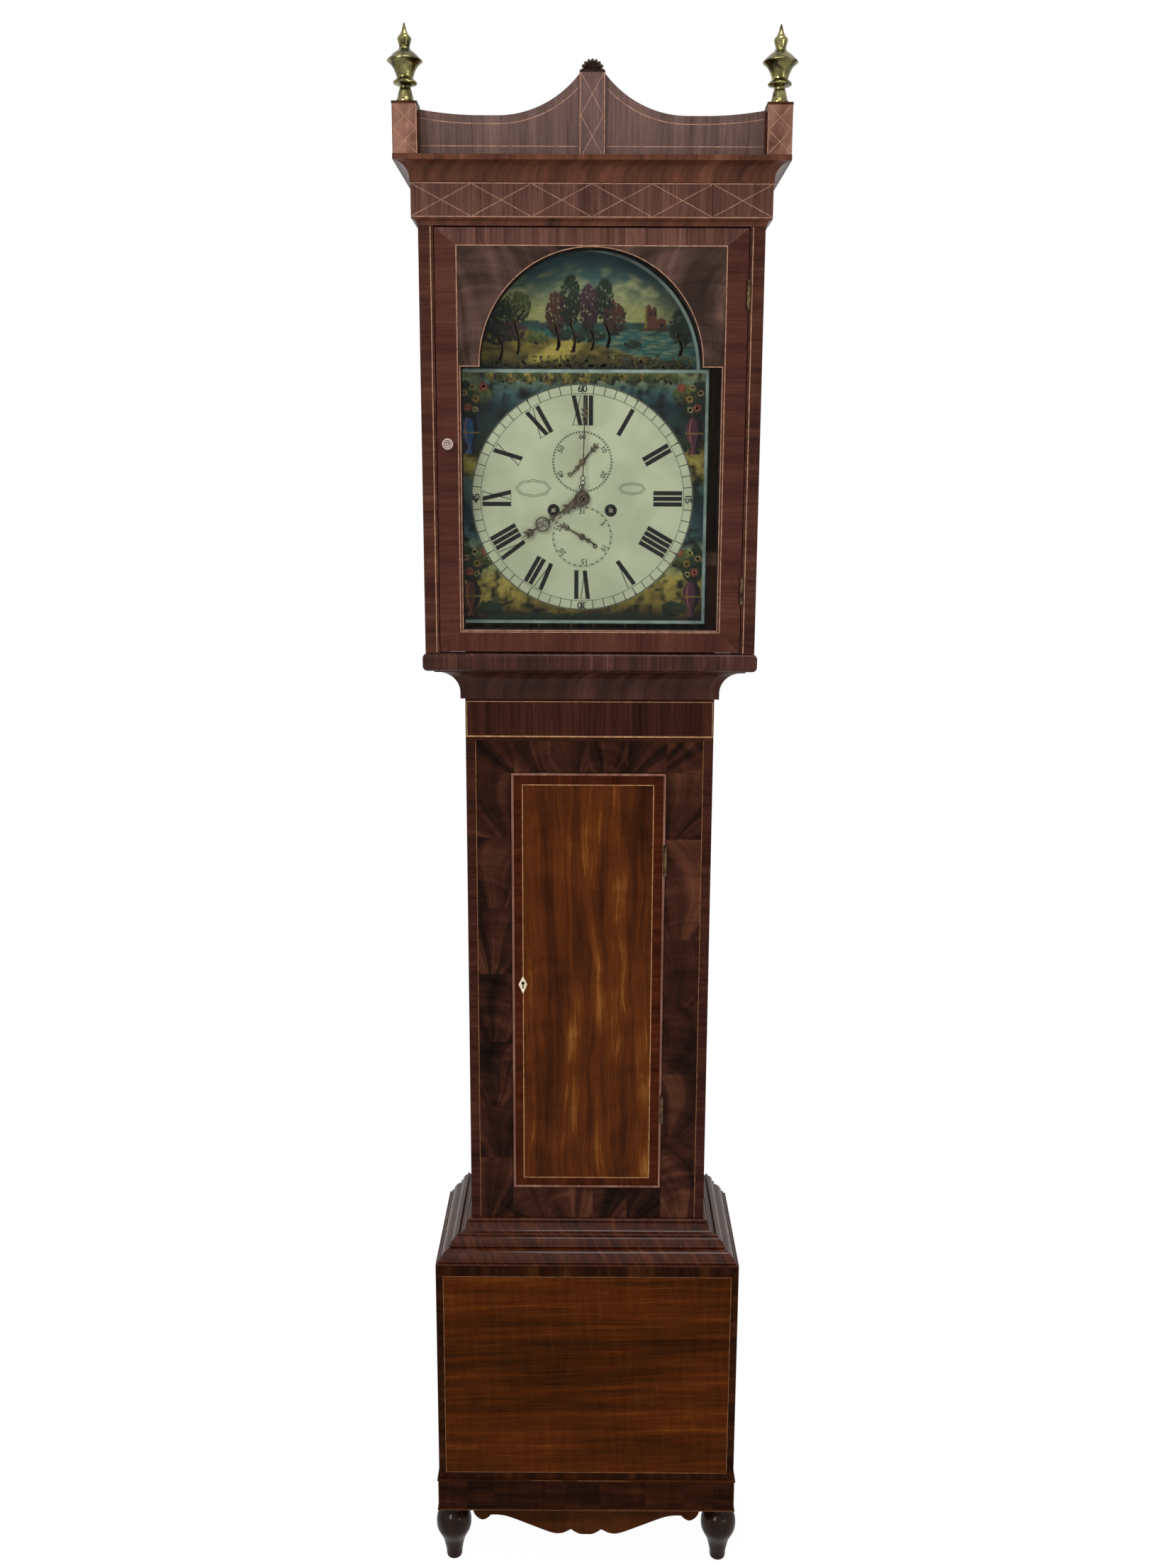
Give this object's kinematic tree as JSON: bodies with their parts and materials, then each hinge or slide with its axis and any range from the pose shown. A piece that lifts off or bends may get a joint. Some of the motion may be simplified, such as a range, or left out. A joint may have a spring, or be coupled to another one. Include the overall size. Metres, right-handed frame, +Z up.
{
  "type": "longcase clock",
  "caption": "Mahogany longcase clock with a sliding hood, glazed hood door, waist door, painted arched dial, two weights and a seconds pendulum.",
  "frame": {"origin": "middle of the bottom face of the clock's box, on the floor", "axes": "+Z up, -Y the front with the dial, +X to the right as seen from the front"},
  "size_m": [0.5408, 0.2723, 2.327],
  "materials": {
    "mahogany_panel": "french polished",
    "mahogany_veneer": "french polished",
    "dark_turning": "polished",
    "softwood": "bare",
    "brass": "polished",
    "steel": "worn",
    "bell_metal": "polished",
    "lead": "dull",
    "painted_dial": "painted",
    "glass": "clear",
    "bone": "polished",
    "gut_line": "plain"
  },
  "bodies": {
    "case": {"backboard": "softwood", "base_front_panel": "mahogany_panel", "base_sides": "mahogany_veneer", "base_floor": "softwood", "skirt": "mahogany_veneer", "feet": "dark_turning", "base_moulding": "mahogany_veneer", "waist_front_frame": "mahogany_veneer", "waist_sides": "mahogany_veneer", "throat_moulding": "mahogany_veneer", "waist_hinge_plates": "brass", "seatboard": "softwood", "dial_plate": "painted_dial", "movement_plates": "brass", "pillars": "brass", "bell": "bell_metal", "going_line": "gut_line", "strike_line": "gut_line", "line_tops": "gut_line"},
    "hood": {"hood_sides": "mahogany_veneer", "hood_rail": "mahogany_veneer", "hood_top_board": "softwood", "frieze": "mahogany_veneer", "cornice": "mahogany_veneer", "pediment_board": "mahogany_veneer", "pediment_blocks": "mahogany_veneer", "centre_ornament": "dark_turning", "finials": "brass", "dial_mask": "softwood", "hood_hinge_plates": "brass"},
    "hood_door": {"hood_door": "mahogany_veneer", "hood_glass": "glass", "hood_knob": "bone", "hood_hinge_leaves": "brass"},
    "waist_door": {"waist_door": "mahogany_panel", "waist_hinge_leaves": "brass", "keyhole_plate": "bone", "waist_lock": "steel"},
    "lock_bolt": {"lock_bolt": "brass"},
    "centre_arbor": {"centre_arbor": "brass"},
    "third_arbor": {"third_wheel": "brass"},
    "escape_arbor": {"escape_wheel": "brass", "seconds_hand": "steel"},
    "going_great_wheel": {"going_great_wheel": "brass"},
    "strike_great_wheel": {"strike_great_wheel": "brass"},
    "going_barrel": {"going_barrel": "brass"},
    "strike_barrel": {"strike_barrel": "brass"},
    "minute_pipe": {"cannon_wheel": "brass", "minute_hand": "steel"},
    "minute_wheel": {"minute_wheel": "brass"},
    "hour_pipe": {"hour_wheel": "brass", "hour_hand": "steel"},
    "calendar_hand": {"calendar_hand": "steel"},
    "pallets": {"pallets": "steel"},
    "pendulum": {"pendulum": "brass"},
    "going_weight": {"going_weight": "lead"},
    "strike_weight": {"strike_weight": "lead"},
    "going_pulley": {"going_pulley": "brass"},
    "strike_pulley": {"strike_pulley": "brass"},
    "hammer": {"hammer": "steel"}
  },
  "joints": [
    {"name": "hood_slide", "type": "slide", "parent": "case", "child": "hood", "axis": [0, -1, 0], "range_m": [0, 0.28]},
    {"name": "hood_door_hinge", "type": "hinge", "parent": "hood", "child": "hood_door", "pos_m": [0.214, -0.1023, 0], "axis": [0, 0, 1], "range_deg": [0, 110]},
    {"name": "waist_door_hinge", "type": "hinge", "parent": "case", "child": "waist_door", "pos_m": [0.11455, -0.0548, 0], "axis": [0, 0, 1], "range_deg": [0, 120]},
    {"name": "lock_bolt_slide", "type": "slide", "parent": "waist_door", "child": "lock_bolt", "axis": [-1, 0, 0], "range_m": [0, 0.008]},
    {"name": "seconds_spin", "type": "hinge", "parent": "case", "child": "escape_arbor", "pos_m": [-0.012, 0, 1.768], "axis": [0, 1, 0], "continuous": true},
    {"name": "third_spin", "type": "hinge", "parent": "case", "child": "third_arbor", "pos_m": [-0.021, 0, 1.74446], "axis": [0, 1, 0], "continuous": true},
    {"name": "centre_spin", "type": "hinge", "parent": "case", "child": "centre_arbor", "pos_m": [-0.012, 0, 1.717], "axis": [0, 1, 0], "continuous": true},
    {"name": "going_great_wheel_spin", "type": "hinge", "parent": "case", "child": "going_great_wheel", "pos_m": [0.02896, 0, 1.7004], "axis": [0, 1, 0], "continuous": true},
    {"name": "strike_great_wheel_spin", "type": "hinge", "parent": "case", "child": "strike_great_wheel", "pos_m": [-0.05296, 0, 1.7004], "axis": [0, 1, 0], "continuous": true},
    {"name": "hands_spin", "type": "hinge", "parent": "case", "child": "minute_pipe", "pos_m": [-0.012, 0, 1.717], "axis": [0, 1, 0], "continuous": true},
    {"name": "minute_wheel_spin", "type": "hinge", "parent": "case", "child": "minute_wheel", "pos_m": [-0.012, 0, 1.69], "axis": [0, 1, 0], "continuous": true},
    {"name": "hour_spin", "type": "hinge", "parent": "case", "child": "hour_pipe", "pos_m": [-0.012, 0, 1.717], "axis": [0, 1, 0], "continuous": true},
    {"name": "calendar_spin", "type": "hinge", "parent": "case", "child": "calendar_hand", "pos_m": [-0.012, 0, 1.663], "axis": [0, 1, 0], "continuous": true},
    {"name": "going_weight_lift", "type": "slide", "parent": "case", "child": "going_weight", "axis": [0, 0, 1], "range_m": [0, 1.19], "deforming": ["going_line"]},
    {"name": "going_barrel_spin", "type": "hinge", "parent": "case", "child": "going_barrel", "pos_m": [0.02896, 0, 1.7004], "axis": [0, 1, 0], "range_deg": [0, 5760]},
    {"name": "going_pulley_spin", "type": "hinge", "parent": "going_weight", "child": "going_pulley", "pos_m": [0.02896, 0, 0.363], "axis": [0, 1, 0], "range_deg": [0, 2880]},
    {"name": "strike_weight_lift", "type": "slide", "parent": "case", "child": "strike_weight", "axis": [0, 0, 1], "range_m": [0, 1.19], "deforming": ["strike_line"]},
    {"name": "strike_barrel_spin", "type": "hinge", "parent": "case", "child": "strike_barrel", "pos_m": [-0.05296, 0, 1.7004], "axis": [0, 1, 0], "range_deg": [0, 5760]},
    {"name": "strike_pulley_spin", "type": "hinge", "parent": "strike_weight", "child": "strike_pulley", "pos_m": [-0.05296, 0, 0.363], "axis": [0, 1, 0], "range_deg": [0, 2880]},
    {"name": "pendulum_swing", "type": "hinge", "parent": "case", "child": "pendulum", "pos_m": [-0.012, 0, 1.8], "axis": [0, 1, 0], "range_deg": [-3, 3]},
    {"name": "pallets_rock", "type": "hinge", "parent": "case", "child": "pallets", "pos_m": [-0.012, 0, 1.8], "axis": [0, 1, 0], "range_deg": [-3.1, 3.1]},
    {"name": "hammer_lift", "type": "hinge", "parent": "case", "child": "hammer", "pos_m": [-0.0705, 0, 1.779], "axis": [0, 1, 0], "range_deg": [-8, 0], "stiffness_Nm_per_rad": 0.3, "springref_deg": 5.16}
  ],
  "couplings": [
    {"joint": "third_spin", "follows": "seconds_spin", "ratio": -0.125},
    {"joint": "centre_spin", "follows": "seconds_spin", "ratio": 0.016667},
    {"joint": "going_great_wheel_spin", "follows": "seconds_spin", "ratio": -0.0013889},
    {"joint": "minute_wheel_spin", "follows": "hands_spin", "ratio": -1},
    {"joint": "hour_spin", "follows": "hands_spin", "ratio": 0.083333},
    {"joint": "going_barrel_spin", "follows": "going_weight_lift", "rad_per_m": 83.333},
    {"joint": "going_pulley_spin", "follows": "going_weight_lift", "rad_per_m": 41.667},
    {"joint": "strike_barrel_spin", "follows": "strike_weight_lift", "rad_per_m": 83.333},
    {"joint": "strike_pulley_spin", "follows": "strike_weight_lift", "rad_per_m": 41.667},
    {"joint": "pallets_rock", "follows": "pendulum_swing", "ratio": 1}
  ]
}
